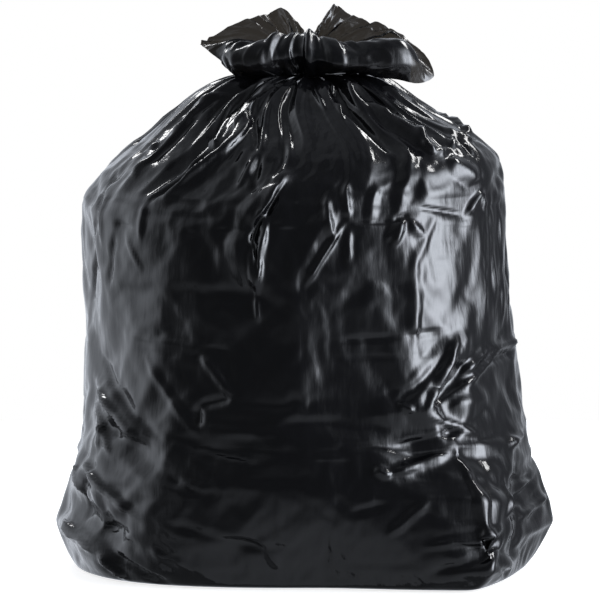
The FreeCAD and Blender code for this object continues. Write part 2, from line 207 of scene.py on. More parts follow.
base_rings = body_points[:1] * np.array(BASE_SHARES)[:, None, None]
base_rings[..., 2] = 0
base_rings[0] = (body_points[0].mean(axis=0) * [1, 1, 0])[None]
all_rings = np.concatenate([base_rings, body_points])
all_runs = np.concatenate([np.full(len(base_rings), BASE_RUN), body_runs])
body = film_tube("sack_body", all_rings)
print(body.name, len(body.data.polygons), "faces")

# %% [markdown]
# Each vertex keeps its place on the flat film in an attribute, as the cosine and sine of its
# azimuth and its run. Subdivision blends an attribute as it blends positions, so later cells can
# still draw creases on the film after it has moved.

# %% Remember each place on the film


def vertex_positions(piece):
    """Vertex positions in millimetres."""
    flat = np.empty(len(piece.data.vertices) * 3, np.float32)
    piece.data.vertices.foreach_get("co", flat)
    return flat.reshape(-1, 3).astype(float) * 1000


def set_positions(piece, points):
    """Moves the vertices to points given in millimetres."""
    piece.data.vertices.foreach_set("co", (points / 1000).reshape(-1).astype(np.float32))
    piece.data.update()


def nearest_places(points):
    """The azimuth and run of each vertex, by looking its position up in the rings."""
    rings = all_rings.reshape(-1, 3)
    tree = KDTree(len(rings))
    for number, point in enumerate(rings):
        tree.insert(point, number)
    tree.balance()
    found = np.array([tree.find(point)[1] for point in points])
    rows, columns = np.divmod(found, COLUMNS)
    return azimuths[columns], all_runs[rows]


def keep_places(piece, place_azimuths, place_runs):
    """Stores azimuth and run in the attribute that the film is drawn on."""
    stored = piece.data.attributes.new("film_place", "FLOAT_VECTOR", "POINT")
    values = np.stack([np.cos(place_azimuths), np.sin(place_azimuths), place_runs / 1000], axis=1)
    stored.data.foreach_set("vector", values.reshape(-1).astype(np.float32))


def read_places(piece):
    """The azimuth in radians and the run that are stored for each vertex."""
    stored = np.empty(len(piece.data.vertices) * 3, np.float32)
    piece.data.attributes["film_place"].data.foreach_get("vector", stored)
    cosine, sine, run = stored.reshape(-1, 3).astype(float).T
    return np.arctan2(sine, cosine) % (2 * np.pi), run * 1000


body_azimuths, body_vertex_runs = nearest_places(vertex_positions(body))
keep_places(body, body_azimuths, body_vertex_runs)
print("places stored for", len(body_azimuths), "vertices")

# %% [markdown]
# Drawn folds alone look carved. Real film carries a little more length than its shape needs, and
# that slack buckles between the folds. The cloth solver finds these buckles: the film grows by 1.6
# per cent, the load pushes it out like a weak pressure, neck and base stay put, and the rest is
# held near its place by weak springs. Where the hold gets firm the movement is eased off, because a
# step would show there. The result is applied, so no simulation stays on the piece.

# %% Let the slack buckle
HELD_RUN, HELD_OVER, LEAST_HOLD = 430, 120, 0.10
GROUND_RUN = 8  # below it the film lies on the floor and is held


def settle(piece, held, frames, growth, pressure):
    """Runs the cloth solver on a film and applies it. held is 1 where a vertex can't move."""
    group = piece.vertex_groups.new(name="held")
    for weight in np.unique(held):
        group.add(np.flatnonzero(held == weight).tolist(), float(weight), "REPLACE")
    before = vertex_positions(piece)
    bpy.ops.object.select_all(action="DESELECT")
    piece.select_set(True)
    bpy.context.view_layer.objects.active = piece
    cloth = piece.modifiers.new("cloth", "CLOTH")
    cloth.settings.quality = 5
    cloth.settings.mass = 0.05
    cloth.settings.tension_stiffness = cloth.settings.compression_stiffness = 60
    cloth.settings.shear_stiffness = 30
    cloth.settings.bending_stiffness = 0.15
    cloth.settings.air_damping = 4
    cloth.settings.shrink_min = -growth
    cloth.settings.use_pressure = True
    cloth.settings.uniform_pressure_force = pressure
    cloth.settings.vertex_group_mass = "held"
    cloth.settings.pin_stiffness = 1.0
    cloth.settings.effector_weights.gravity = 0
    cloth.collision_settings.use_collision = False
    cloth.collision_settings.use_self_collision = False
    cloth.point_cache.frame_end = frames
    for number in range(1, frames + 1):
        bpy.context.scene.frame_set(number)
    bpy.ops.object.modifier_apply(modifier="cloth")
    bpy.context.scene.frame_set(1)
    eased = np.clip(2 - 2 * held, 0, 1)
    move = (vertex_positions(piece) - before) * eased[:, None]
    set_positions(piece, before + move)
    moved = np.linalg.norm(move, axis=1)
    mean, most = moved.mean().round(2), moved.max().round(1)
    print(piece.name, "moved", mean, "mm on average, at most", most)


held = np.round(np.clip((body_vertex_runs - HELD_RUN) / HELD_OVER, LEAST_HOLD, 1), 2)
held[body_vertex_runs < GROUND_RUN] = 1
settle(body, held, frames=12, growth=0.016, pressure=0.15)

# %% [markdown]
# One subdivision rounds the grid and makes it fine enough for sharp creases.

# %% Round the film


def subdivide(piece):
    """One Catmull-Clark subdivision, applied."""
    bpy.ops.object.select_all(action="DESELECT")
    piece.select_set(True)
    bpy.context.view_layer.objects.active = piece
    rounding = piece.modifiers.new("rounding", "SUBSURF")
    rounding.levels = rounding.render_levels = 1
    bpy.ops.object.modifier_apply(modifier=rounding.name)


subdivide(body)
print(body.name, 2 * len(body.data.polygons), "triangles")

# %% [markdown]
# Crisp film does not bend softly like cloth. It stays in flat panels that meet at creases. A
# crease here is a ridge or a valley with straight flanks and an edge that is rounded by a
# millimetre or so, because that is the tightest bend film takes by itself. Towards both ends it
# gets lower and narrower. The widest folds come first, each between two places on the film.

# %% Main folds
AROUND = 215.0  # radius that turns azimuths into millimetres of film
END_TAPER, END_HEIGHT, END_WIDTH = 4, 0.12, 0.35
FOLD_EDGE, SHARP_EDGE = 1.5, 0.8
FOOT_FADE = 46  # folds and facets rise from nothing over this much film at the floor
MAIN_FOLDS = (
    # azimuth and run of one end, the same of the other end, half width, height
    (236, 600, 221, 405, 17, -9),
    (246, 575, 230, 400, 16, 8),
    (262, 590, 264, 470, 15, -6),
    (265, 450, 255, 374, 15, 5),
    (255, 374, 256, 315, 15, 5),
    (282, 398, 269, 318, 16, 5),
    (300, 590, 318, 455, 16, 8),
    (290, 580, 303, 460, 14, -6),
    (318, 455, 331, 420, 16, 6),
    (301, 398, 302, 262, 15, 2),
    (324, 392, 322, 275, 14, -1),
    (322, 262, 300, 200, 20, 7),
    (322, 240, 306, 188, 16, -6),
    (288, 186, 328, 196, 20, 8),
    (292, 148, 326, 132, 16, -7),
    (294, 104, 330, 82, 18, 8),
    (300, 60, 335, 24, 20, -9),
    (198, 208, 228, 155, 18, 7),
    (206, 176, 236, 118, 18, -6),
    (236, 158, 262, 146, 16, -6),
    (186, 124, 222, 78, 20, 7),
    (183, 52, 220, 10, 22, 9),
    (190, 86, 226, 40, 18, -8),
)


def crease_lift(place_azimuths, place_runs, crease, edge):
    """How far one crease moves places of the film outwards, in millimetres."""
    first_azimuth, first_run, last_azimuth, last_run, half_width, height = crease
    whole_turn = 2 * np.pi * AROUND
    across = (place_azimuths - math.radians(first_azimuth)) * AROUND
    across = (across + whole_turn / 2) % whole_turn - whole_turn / 2
    up = place_runs - first_run
    turn = math.radians(half_turn(last_azimuth - first_azimuth))
    line = (turn * AROUND, last_run - first_run)
    share = np.clip((across * line[0] + up * line[1]) / (line[0] ** 2 + line[1] ** 2), 0, 1)
    distance = np.hypot(across - share * line[0], up - share * line[1])
    distance = np.sqrt(distance**2 + edge**2) - edge
    fade = np.clip(END_TAPER * np.minimum(share, 1 - share) + END_HEIGHT, 0, 1)
    return height * fade * tent(distance, half_width * (END_WIDTH + (1 - END_WIDTH) * fade))


def vertex_normals(piece):
    """The outward direction at each vertex."""
    normals = np.empty(len(piece.data.vertices) * 3, np.float32)
    piece.data.vertex_normals.foreach_get("vector", normals)
    return normals.reshape(-1, 3).astype(float)


def push_out(piece, lift):
    """Moves each vertex along its own normal by a number of millimetres."""
    set_positions(piece, vertex_positions(piece) + lift[:, None] * vertex_normals(piece))


fine_azimuths, fine_runs = read_places(body)
above_base = rise(fine_runs, FOOT_FADE)
folds = sum(crease_lift(fine_azimuths, fine_runs, fold, FOLD_EDGE) for fold in MAIN_FOLDS)
push_out(body, folds * above_base)
print("main folds lift the film from", folds.min().round(1), "to", folds.max().round(1), "mm")

# %% [markdown]
# Over the shoulders the slack gathers into pleats that all run into the tie. A gather is as wide
# as its share of the ring, so it narrows to nothing at the neck, and each starts at its own height.
# Sines of uneven pace stand in for chance there. Between the gathers lie narrow, straight pleats.
# In the middle of the front both are shallow, as in the photograph.

# %% Gathers and pleats
SHOULDER_RUN = level_runs[4]
GATHERS, GATHER_DEPTH, GATHER_SLOPE, CROWDING = 24, 6, 0.28, math.radians(4)
START_SPREAD, GATHER_RISE, TIE_RISE = 0.45, 2.2, 30
PLEATS, PLEAT_SEED, PLEAT_PLACES = 34, 24, 0.42
PLEAT_START, PLEAT_DRIFT, PLEAT_HALF_ANGLE = (-40, 120), (-9, 9), (1.4, 4.0)
PLEAT_STEEPNESS, PLEAT_DEPTH, PLEAT_RISE, PLEAT_FALL = (0.2, 0.6), 6, 4, 6
FRONT, FRONT_CALM, FRONT_HALF_ANGLE, FRONT_CALM_OVER = 270, 0.65, 30, 50


def gather_lift(place_azimuths, place_runs, radius):
    """The main gathers, each a ridge and a valley, which crowd together in places."""
    turns = np.linspace(-1, 7.5, 4000)
    crowded = turns + CROWDING * (np.sin(5 * turns + 1) + 0.5 * np.sin(11 * turns + 2))
    gather = np.interp(place_azimuths, crowded, turns) / (2 * np.pi) * GATHERS
    number = np.floor(gather + 0.25)
    wave = 4 * np.abs(gather % 1 - 0.5) - 1
    reach = 0.5 + 0.5 * np.sin(2.4 * number)
    start = SHOULDER_RUN + (NECK_RUN - SHOULDER_RUN) * START_SPREAD * (1 - reach)
    share = rise(place_runs - start, NECK_RUN - start)
    depth = GATHER_DEPTH * np.clip(GATHER_RISE * share, 0, 1)
    depth = np.minimum(depth, GATHER_SLOPE * 2 * np.pi * radius / GATHERS)
    uneven = 0.75 + 0.25 * np.sin(5.1 * number)
    return depth * wave * uneven * np.clip(TIE_RISE * (1 - share), 0, 1)


def straight_pleats(place_azimuths, place_runs, radius):
    """Narrow ridges that fan out from the neck, at seeded places."""
    chance = np.random.default_rng(PLEAT_SEED)
    total = np.zeros(radius.shape)
    degrees = np.degrees(place_azimuths)
    shifts = chance.uniform(-PLEAT_PLACES, PLEAT_PLACES, PLEATS)
    for place in (np.arange(PLEATS) + shifts) * 360 / PLEATS:
        start = SHOULDER_RUN + chance.uniform(*PLEAT_START)
        drift, half_angle = chance.uniform(*PLEAT_DRIFT), chance.uniform(*PLEAT_HALF_ANGLE)
        share = rise(place_runs - start, NECK_RUN - start)
        away = half_turn(degrees - place - drift * (1 - share))
        depth = np.radians(half_angle) * radius * chance.uniform(*PLEAT_STEEPNESS)
        depth = np.minimum(depth, PLEAT_DEPTH) * np.clip(PLEAT_RISE * share, 0, 1)
        depth *= np.clip(PLEAT_FALL * (1 - share), 0, 1)
        total += depth * tent(away, half_angle)
    return total


radius_now = np.hypot(*vertex_positions(body)[:, :2].T)
pleats = gather_lift(fine_azimuths, fine_runs, radius_now)
pleats += straight_pleats(fine_azimuths, fine_runs, radius_now)
from_front = half_turn(np.degrees(fine_azimuths) - FRONT)
in_front = np.exp(-((from_front / FRONT_HALF_ANGLE) ** 4))
pleats *= 1 - FRONT_CALM * in_front * rise(NECK_RUN - fine_runs, FRONT_CALM_OVER)
push_out(body, pleats)
print("gathers and pleats lift the film by up to", pleats.max().round(1), "mm")

# %% [markdown]
# The finer creases are read off the photograph one by one, in its pixels. Each end is then
# looked up on the film: it belongs to the vertex that the camera sees nearest to that place of the
# picture.

# %% Sharp creases
ELEVATION = math.radians(6)
PIXEL_MM, MIDDLE_COLUMN, FLOOR_ROW = 1.05, 303.5, 564
LEAST_FACING = 0.08  # film that is turned away further than this is not looked up
SHARP_CREASES = (
    # column and row of one end, the same of the other end, half width and height in millimetres
    # long narrow fold over the left shoulder
    (250, 110, 150, 202, 7, -9),
    (258, 112, 164, 198, 5, 6),
    # folds that run from the tie to the left edge
    (232, 95, 182, 117, 5, 5),
    (218, 101, 186, 121, 5, -4),
    (186, 121, 132, 160, 6, 4),
    (205, 112, 140, 170, 6, -4),
    (168, 128, 136, 178, 6, 4),
    (122, 165, 101, 215, 4, -3),
    (101, 215, 92, 300, 5, -4),
    (148, 202, 143, 240, 5, 3),
    (113, 190, 106, 250, 4, 2),
    # pinch on the left with its rays
    (116, 222, 136, 229, 4, -2.5),
    (128, 233, 144, 270, 4, 2),
    (117, 232, 111, 285, 5, -3),
    # short pleat that ends in a glint
    (240, 105, 214, 152, 6, 5),
    (206, 147, 226, 145, 4, 4),
    (262, 92, 255, 195, 7, -5),
    (275, 95, 240, 190, 7, 5),
    (285, 100, 266, 190, 7, -4),
    # the narrow bright tuck
    (285, 180, 256, 226, 5, 7),
    (268, 224, 257, 294, 5, 7),
    (282, 190, 266, 222, 4, -4),
    (263, 212, 252, 246, 4, -5),
    (252, 246, 255, 290, 4, 5),
    (258, 296, 260, 322, 3, 3),
    # slanting bright crease and the lines above it
    (345, 222, 304, 288, 4, 5),
    (327, 194, 333, 244, 5, 4),
    (344, 184, 350, 224, 5, 3),
    (349, 232, 346, 262, 5, 3),
    # level crease, upper
    (186, 233, 200, 235, 3, -1.5),
    (214, 230, 246, 230, 3, -1.2),
    (268, 226, 300, 226, 3, 1.4),
    (347, 223, 396, 221, 3.4, -2.6),
    (392, 221, 406, 215, 4, -3),
    (411, 208, 464, 216, 3.4, -3),
    (462, 216, 479, 189, 5, 6),
    # pinch with rays on the right
    (402, 218, 392, 246, 5, 5),
    (405, 220, 422, 236, 5, 4),
    (398, 222, 384, 240, 4, 3),
    (411, 250, 412, 345, 9, 3),
    (433, 216, 411, 268, 7, 2.5),
    (408, 228, 418, 240, 4, 2),
    # soft ridge above the pinch
    (398, 146, 396, 214, 14, 4),
    (374, 186, 370, 224, 9, 3),
    # right shoulder, main fold with its bright facets
    (352, 82, 396, 112, 6, 10),
    (396, 112, 418, 142, 6, 9),
    (418, 142, 432, 157, 5, 8),
    (432, 157, 446, 153, 4, 5),
    (446, 153, 444, 128, 4, 4),
    (330, 84, 342, 122, 6, 9),
    (312, 86, 326, 111, 6, 9),
    (345, 88, 366, 104, 5, 5),
    (366, 104, 389, 117, 5, 5),
    (400, 100, 466, 138, 5, 7),
    (424, 106, 472, 144, 5, -4),
    (450, 135, 470, 146, 5, 5),
    (458, 147, 471, 160, 4, 4),
    (380, 88, 440, 108, 5, 4),
    # long thin upright lines on the right
    (478, 188, 482, 214, 4, 3),
    (482, 214, 481, 318, 3.5, 1.6),
    (496, 196, 498, 326, 4, 2.6),
    (503, 196, 505, 330, 4, -2.2),
    (488, 190, 492, 330, 5, 2),
    # short level wrinkles in the bright panel
    (428, 244, 462, 246, 3, 0.5),
    (424, 262, 456, 261, 3, -0.5),
    (430, 254, 458, 252, 3, 0.5),
    (416, 276, 444, 277, 3, -0.4),
    (434, 222, 472, 224, 3, 1.2),
    # level crease, lower
    (336, 338, 400, 333, 3.4, -2),
    (400, 333, 440, 328, 4, -2),
    (128, 331, 204, 344, 3.4, 1.6),
    (205, 345, 232, 350, 3.4, -1.4),
    # bright wedge and the long thin line beside it
    (455, 334, 424, 409, 6, 7),
    (450, 350, 394, 399, 7, -4),
    (394, 399, 412, 409, 5, 4),
    (426, 408, 500, 332, 4, 4),
    # facets of the lower right
    (456, 372, 482, 346, 6, 5),
    (482, 346, 514, 338, 6, 5),
    (514, 350, 486, 360, 6, -4),
    (426, 411, 476, 433, 5, 4),
    (392, 441, 464, 424, 5, -4),
    (372, 462, 388, 471, 5, 6),
    (384, 470, 446, 447, 6, 7),
    (506, 442, 522, 430, 6, 6),
    (506, 476, 534, 474, 5, -5),
    (500, 516, 536, 474, 6, -6),
    (516, 514, 546, 492, 6, 6),
    (500, 472, 503, 512, 4, 3),
    (350, 505, 386, 498, 6, -3),
    (386, 528, 424, 492, 6, 4),
    (424, 540, 496, 520, 7, 6),
    (424, 566, 500, 528, 7, -5),
    (500, 528, 486, 560, 6, 4),
    (494, 560, 512, 590, 5, -4),
    (350, 452, 310, 454, 4, 2),
    # left flank
    (98, 384, 150, 440, 5, 6),
    (100, 350, 165, 436, 6, -3.5),
    (150, 352, 200, 432, 6, 3),
    (204, 352, 234, 394, 6, 4),
    (234, 394, 202, 402, 6, -4),
    (202, 402, 201, 424, 6, -4),
    (96, 396, 114, 455, 5, 4),
    (98, 412, 124, 434, 4, -3),
    (104, 418, 98, 448, 4, 3),
    (188, 440, 262, 456, 4, -2.4),
    (194, 446, 260, 460, 4, 2),
    (170, 474, 204, 488, 6, -4),
    # low left, the ear and the hem
    (88, 456, 146, 512, 6, 7),
    (95, 462, 85, 520, 4, -3),
    (78, 462, 86, 492, 5, 4),
    (66, 518, 100, 548, 5, 7),
    (100, 548, 132, 580, 5, 7),
    (104, 524, 134, 526, 6, -5),
    (112, 544, 180, 580, 6, -6),
    (150, 545, 190, 560, 6, 3),
    (165, 515, 270, 545, 8, -3),
    (260, 530, 280, 560, 7, 3),
)


def seen_places(piece, places, pixels):
    """Azimuth in degrees and run of the film that is seen at each pixel."""
    points, normals = vertex_positions(piece), vertex_normals(piece)
    facing = -normals[:, 1] * math.cos(ELEVATION) + normals[:, 2] * math.sin(ELEVATION)
    up = points[:, 2] * math.cos(ELEVATION) + points[:, 1] * math.sin(ELEVATION)
    numbers = np.flatnonzero(facing > LEAST_FACING)
    tree = KDTree(len(numbers))
    for number in numbers:
        tree.insert((points[number, 0], up[number], 0), number)
    tree.balance()
    found = []
    for column, row in pixels:
        target = ((column - MIDDLE_COLUMN) * PIXEL_MM, (FLOOR_ROW - row) * PIXEL_MM, 0)
        found.append(tree.find(target)[1])
    return np.degrees(places[0][found]), places[1][found]


drawn = np.array(SHARP_CREASES, float)
first = seen_places(body, (fine_azimuths, fine_runs), drawn[:, 0:2])
last = seen_places(body, (fine_azimuths, fine_runs), drawn[:, 2:4])
sharp = np.zeros(len(fine_runs))
for crease in np.column_stack([*first, *last, drawn[:, 4:]]):
    sharp += crease_lift(fine_azimuths, fine_runs, crease, SHARP_EDGE)
print(len(drawn), "sharp creases, from", sharp.min().round(1), "to", sharp.max().round(1), "mm")

# %% [markdown]
# Everywhere else the film is crumpled without a plan. A lattice of random heights, joined by flat
# triangles, gives just the facets of crumpled film. Three sizes of it are added, from the width of
# a hand to that of a finger, each slanted its own way so that the lattice itself does not show.
# The film is calmer in three places: the middle of the front, the left side above the ear, and the
# bright panel at the right. Three level creases left by the packing, broken here and there, come on
# top.

# %% Crumpled facets
# pitch, depth, slant and seed of each lattice
BROAD, MEDIUM, FINE = (78, 4, 0.5, 3), (38, 1.2, -0.7, 8), (17, 0.28, 0.4, 13)
BELOW_MORE, BELOW_MOST, BELOW_RUN = 1.6, 0.8, 150
MIDDLE_CALM, MIDDLE_SPREAD = 0.45, 26
SIDE_CALM, SIDE_PLACE, SIDE_SPREAD, SIDE_RUN, SIDE_OVER = 0.45, 215, 22, 180, 60
PANEL_CALM, PANEL_PLACE, PANEL_SPREAD, PANEL_RUN, PANEL_HEIGHT = 0.97, 314, 17, 325, 78
PACKING_CREASES, PACKING_RUN, PACKING_PITCH = 3, 104, 141
PACKING_DEPTH, PACKING_HALF_WIDTH, PACKING_SHARE = 0.7, 4, 0.4
FACET_FADE, SHARP_FADE, SHARP_FOOT = 125, 60, 12  # millimetres below the neck and above the floor


def facets(place_azimuths, place_runs, pitch, depth, slant, seed):
    """Heights of flat triangles on a slanted, wavy lattice that closes round the film.

    Each cell of the lattice is cut along the diagonal whose ends differ least in height.
    """
    columns = round(2 * math.pi * AROUND / pitch)
    rows = int(1.3 * levels[-1, HEIGHT] / pitch) + 4
    dice = random.Random(seed)
    heights = np.array([[dice.uniform(-1, 1) for _ in range(rows)] for _ in range(columns)])
    up = place_runs / pitch + 1
    across = place_azimuths / (2 * np.pi) * columns + slant * up
    across = across + 0.35 * np.sin(1.7 * up) + 0.25 * np.sin(3 * place_azimuths + 0.9 * up)
    up = up + 0.35 * np.sin(7 * place_azimuths) + 0.25 * np.sin(16 * place_azimuths + 2.3 * up)
    column, row = np.floor(across).astype(int), np.clip(np.floor(up).astype(int), 0, rows - 2)
    right, above = across - column, up - row
    column, beside = column % columns, (column + 1) % columns
    a, b = heights[column, row], heights[beside, row]
    c, d = heights[beside, row + 1], heights[column, row + 1]
    one = np.where(
        right > above,
        a + right * (b - a) + above * (c - b),
        a + above * (d - a) + right * (c - d),
    )
    other = np.where(
        right + above < 1,
        a + right * (b - a) + above * (d - a),
        c + (1 - right) * (d - c) + (1 - above) * (b - c),
    )
    return depth * np.where(np.abs(a - c) < np.abs(b - d), one, other)


crumpled = 1 - MIDDLE_CALM * np.exp(-((from_front / MIDDLE_SPREAD) ** 2))
fine_degrees = np.degrees(fine_azimuths)
from_side = (fine_degrees - SIDE_PLACE) / SIDE_SPREAD
crumpled *= 1 - SIDE_CALM * np.exp(-(from_side**4)) * rise(fine_runs - SIDE_RUN, SIDE_OVER)
from_panel = np.hypot(
    (fine_degrees - PANEL_PLACE) / PANEL_SPREAD, (fine_runs - PANEL_RUN) / PANEL_HEIGHT
)
crumpled *= 1 - PANEL_CALM * np.exp(-(from_panel**4))
rougher_below = 1 + np.clip(BELOW_MORE - fine_runs / BELOW_RUN, 0, BELOW_MOST)
crumple = facets(fine_azimuths, fine_runs, *BROAD)
crumple += facets(fine_azimuths, fine_runs, *MEDIUM) * rougher_below
crumple += facets(fine_azimuths, fine_runs, *FINE)
crumple *= crumpled * rise(NECK_RUN - fine_runs, FACET_FADE)
for number in range(PACKING_CREASES):
    wave = np.sin(fine_azimuths * (5 + number) + 2 * number)
    broken = np.clip(wave + PACKING_SHARE, 0, 1)
    from_crease = fine_runs - PACKING_RUN - PACKING_PITCH * number
    crumple -= PACKING_DEPTH * broken * tent(from_crease, PACKING_HALF_WIDTH)
sharp *= rise(NECK_RUN - fine_runs, SHARP_FADE) * rise(radius_now, AROUND)
push_out(body, crumple * above_base + sharp * rise(fine_runs, SHARP_FOOT))
print("facets move the film by", np.abs(crumple).mean().round(2), "mm on average")

# %% [markdown]
# Above the tie the film opens again. It rises from the neck, rolls over a crest and ends at the
# cut rim. The back half stands up as two wings and the front half hangs down over the tie. Each
# station below gives the crest and the rim at one place round the mouth, in millimetres to the
# right of the tie, behind it and above it. In between, the film follows a spline from the neck
# over a stem and the crest to the rim. At the front it bulges forwards and its rim turns in again,
# which makes the two rolls.

# %% The open mouth
MOUTH_STATIONS = (
    ((95, -10, 25), (129, -12, -12)),
    ((92, 8, 30), (119, 6, 14)),
    ((72, 15, 36), (95, 22, 28)),
    ((50, 22, 42), (68, 32, 40)),
    ((32, 24, 46), (43, 37, 52)),
    ((18, 24, 46), (22, 40, 65)),
    ((8, 15, 30), (10, 21, 40)),
    ((-5, 14, 32), (-7, 20, 42)),
    ((-20, 24, 43), (-27, 36, 60)),
    ((-34, 24, 42), (-48, 34, 50)),
    ((-58, 18, 34), (-86, 22, 38)),
    ((-74, 4, 28), (-113, 4, 22)),
    ((-76, -14, 25), (-84, -14, 2)),
    ((-80, -28, 20), (-88, -34, -7)),
    ((-50, -42, 30), (-52, -50, -9)),
    ((-12, -34, 38), (-12, -40, -3)),
    ((30, -42, 26), (32, -50, -11)),
    ((88, -32, 28), (104, -38, -14)),
)
MOUTH_COLUMNS, MOUTH_ROWS = 288, 44
NECK_TOP = np.array([5.0, 0.0, 526.0])
STATION_SCALE, RIM_DROP = 0.97, 2
EXTRA_STATIONS = 4  # repeated at both ends, so that the spline closes smoothly
STEM_RADIUS, COLLAR_DROP = 14, 9
STEM_SHARE, PATH_PLACES = (0.32, 0.32, 0.5), (0, 0.27, 0.6, 0.8, 1)
FRONT_FROM, FRONT_OVER, FRONT_BULGE, FRONT_TUCK = -5, 15, (0, 0.2, 0), (0.1, 0.25, 0)
MOUTH_FOLDS, FOLD_SEED, FOLD_HALF_WIDTHS, FOLD_STEEPNESS = 24, 9, (0.008, 0.03), 130
FOLD_PLACES, FRONT_FOLD_LOSS = 0.45, 0.6
FOLD_GROWTH = (0, 0.12, 0.4, 1), (0, 1.2, 1.6, 1.2)  # places on the way to the rim, and factors
FRONT_VALLEYS = (
    # place round the mouth, half width and height
    (0.852, 0.014, -10),
    (0.80, 0.010, -6),
    (0.745, 0.012, -5),
)
stations = STATION_SCALE * np.array(MOUTH_STATIONS, float).reshape(-1, 6)
stations[:, 5] -= RIM_DROP
station_places = np.arange(-EXTRA_STATIONS, len(stations) + EXTRA_STATIONS + 1)
wrapped = stations[station_places % len(stations)]
mouth_share = np.arange(MOUTH_COLUMNS) / MOUTH_COLUMNS
around_mouth = smooth_path(station_places, wrapped, mouth_share * len(stations))
crest, rim = around_mouth[:, :3] + NECK_TOP, around_mouth[:, 3:] + NECK_TOP
mouth_azimuths = 2 * np.pi * mouth_share
neck = NECK_TOP + STEM_RADIUS * np.stack(
    [np.cos(mouth_azimuths), np.sin(mouth_azimuths), 0 * mouth_share], axis=1
)
stem = neck + (crest - neck) * STEM_SHARE
rows_at = np.linspace(0, 1, MOUTH_ROWS)
at_front = rise(FRONT_FROM - around_mouth[:, 1], FRONT_OVER)[:, None]
bulge = (crest + rim) / 2
bulge = NECK_TOP + (bulge - NECK_TOP) * (1 + at_front * FRONT_BULGE)
rim = NECK_TOP + (rim - NECK_TOP) * (1 - at_front * FRONT_TUCK)
levels_up = np.stack([neck, stem, crest, bulge, rim]).reshape(len(PATH_PLACES), -1)
paths = smooth_path(PATH_PLACES, levels_up, rows_at)
mouth_points = paths.reshape(MOUTH_ROWS, MOUTH_COLUMNS, 3)
chance = np.random.default_rng(FOLD_SEED)
fold = np.zeros(MOUTH_COLUMNS)
fold_shifts = chance.uniform(-FOLD_PLACES, FOLD_PLACES, MOUTH_FOLDS)
for centre in (np.arange(MOUTH_FOLDS) + fold_shifts) / MOUTH_FOLDS:
    away = np.abs((mouth_share - centre + 0.5) % 1 - 0.5)
    half_width = chance.uniform(*FOLD_HALF_WIDTHS)
    fold += chance.choice([-1, 1]) * half_width * FOLD_STEEPNESS * tent(away, half_width)
for centre, half_width, height in FRONT_VALLEYS:
    fold += height * tent(mouth_share - centre, half_width)
fold *= 1 - FRONT_FOLD_LOSS * at_front[:, 0]
fold_growth = np.interp(rows_at, *FOLD_GROWTH)[:, None]
mouth_points = mouth_points + outward(mouth_points) * (fold_growth * fold[None, :])[..., None]
mouth_points[0] = neck
collar = neck - [0, 0, COLLAR_DROP]
mouth = film_tube("sack_mouth", np.concatenate([collar[None], mouth_points]))
print(mouth.name, len(mouth.data.polygons), "faces")

# %% [markdown]
# The mouth gets the same treatment as the body: the cloth solver, one subdivision, then facets.
# An attribute says where its film lies double, because no light comes through there.

# %% Crumple the mouth
TIED_ZONE, MOUTH_HOLD = 20, 0.03
MOUTH_BROAD, MOUTH_FINE = (26, 2.5, 0.3, 5), (11, 0.4, -0.5, 6)
MOUTH_FADE_FROM, MOUTH_FADE_OVER = 20, 30
DOUBLE_FROM, DOUBLE_OVER, DOUBLE_RIGHT = 6, 12, 106
from_neck = np.linalg.norm(vertex_positions(mouth) - NECK_TOP, axis=1)
mouth_held = np.where(from_neck < TIED_ZONE, 1.0, MOUTH_HOLD)
settle(mouth, mouth_held, frames=10, growth=0.05, pressure=0)
subdivide(mouth)
mouth_places = vertex_positions(mouth) - NECK_TOP
mouth_turn = np.arctan2(mouth_places[:, 1], mouth_places[:, 0]) % (2 * np.pi)
mouth_out = np.linalg.norm(mouth_places, axis=1)
mouth_crumple = facets(mouth_turn, mouth_out, *MOUTH_BROAD)
mouth_crumple += facets(mouth_turn, mouth_out, *MOUTH_FINE)
mouth_crumple *= rise(mouth_out - MOUTH_FADE_FROM, MOUTH_FADE_OVER)
push_out(mouth, mouth_crumple)
doubled = mouth.data.attributes.new("film_doubled", "FLOAT", "POINT")
double_share = rise(DOUBLE_FROM - mouth_places[:, 1], DOUBLE_OVER)
double_share *= mouth_places[:, 0] < DOUBLE_RIGHT
doubled.data.foreach_set("value", double_share.astype(np.float32))
for piece in (body, mouth):
    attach(piece, "root")
    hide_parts("sack")
    print(piece.name, 2 * len(piece.data.polygons), "triangles")

# %% [markdown]
# ## Materials
#
# One function turns sRGB hex into linear values, and one adds a node with its settings and links.

# %% Material helpers


def linear(hex_colour):
    """Linear RGBA of an sRGB hex colour."""
    channels = [int(hex_colour[i : i + 2], 16) / 255 for i in (1, 3, 5)]
    return (
        *(c / 12.92 if c <= 0.04045 else ((c + 0.055) / 1.055) ** 2.4 for c in channels),
        1.0,
    )


def new_material(name):
    """An empty node material and its output node."""
    material = bpy.data.materials.new(name)
    material.use_nodes = True
    material.node_tree.nodes.clear()
    return material, material.node_tree.nodes.new("ShaderNodeOutputMaterial")


def add_node(tree, kind, inputs=None, **settings):
    """A node with settings by name, and inputs by name or number as values or sockets."""
    node = tree.nodes.new(kind)
    for name, value in settings.items():
        setattr(node, name, value)
    for name, value in (inputs or {}).items():
        if isinstance(value, bpy.types.NodeSocket):
            tree.links.new(value, node.inputs[name])
        else:
            node.inputs[name].default_value = value
    return node


def per_mm(size):
    """Texture scale that makes one feature about that many millimetres wide."""
    return 1000 / size


# %% [markdown]
# Blown LDPE film is drawn up as a bubble and rolled flat, so it is smooth and glossy, with faint
# lines along the tube. Carbon black makes it nearly opaque. The eye reads it by its reflections:
# a slightly blurred image of the lamps that breaks up wherever the film wrinkles.

# %% Blown LDPE film
CARBON_BLACK, FILM_IOR = "#0d0d0f", 1.51
LINE_WIDTH, LINE_STRETCH, CRUMPLE_WIDTH = 9, 0.22, 26


